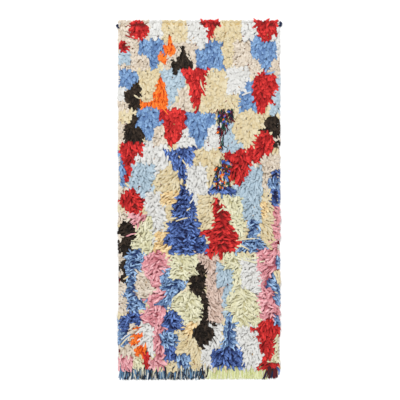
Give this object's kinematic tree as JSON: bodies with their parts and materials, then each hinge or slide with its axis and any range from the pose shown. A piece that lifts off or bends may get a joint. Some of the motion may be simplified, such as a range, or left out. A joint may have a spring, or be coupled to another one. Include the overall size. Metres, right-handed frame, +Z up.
{
  "type": "wool area rug",
  "caption": "Shaggy rag-pile rug lying flat, with a patchwork of coloured triangles, lozenges and blocks, and a short thick yarn fringe along one end.",
  "frame": {"origin": "on the floor, under the middle of the rug's outline", "axes": "+X across the rug, +Y along it towards the plain end, +Z up from the floor"},
  "size_m": [0.82, 1.8098, 0.0281],
  "materials": {
    "ground_weave": "matt undyed wool weave",
    "pile_red": "matt wool pile, red",
    "pile_royal": "matt wool pile, royal blue",
    "pile_cornflower": "matt wool pile, cornflower blue",
    "pile_sky": "matt wool pile, pale sky blue",
    "pile_cream": "matt wool pile, cream yellow",
    "pile_beige": "matt wool pile, beige",
    "pile_white": "matt wool pile, off-white",
    "pile_lime": "matt wool pile, pale lime",
    "pile_pink": "matt wool pile, pink",
    "pile_orange": "matt wool pile, orange",
    "pile_black": "matt wool pile, brown-black",
    "binding": "matt wool stitches, dark red",
    "fringe_teal": "matt thick yarn, navy and teal",
    "fringe_lime": "matt thick yarn, lime",
    "fringe_maroon": "matt thick yarn, dark red"
  },
  "bodies": {
    "root": {"pile_field": "ground_weave", "fringe_teal": "fringe_teal", "fringe_lime": "fringe_lime", "fringe_maroon": "fringe_maroon"}
  },
  "joints": []
}
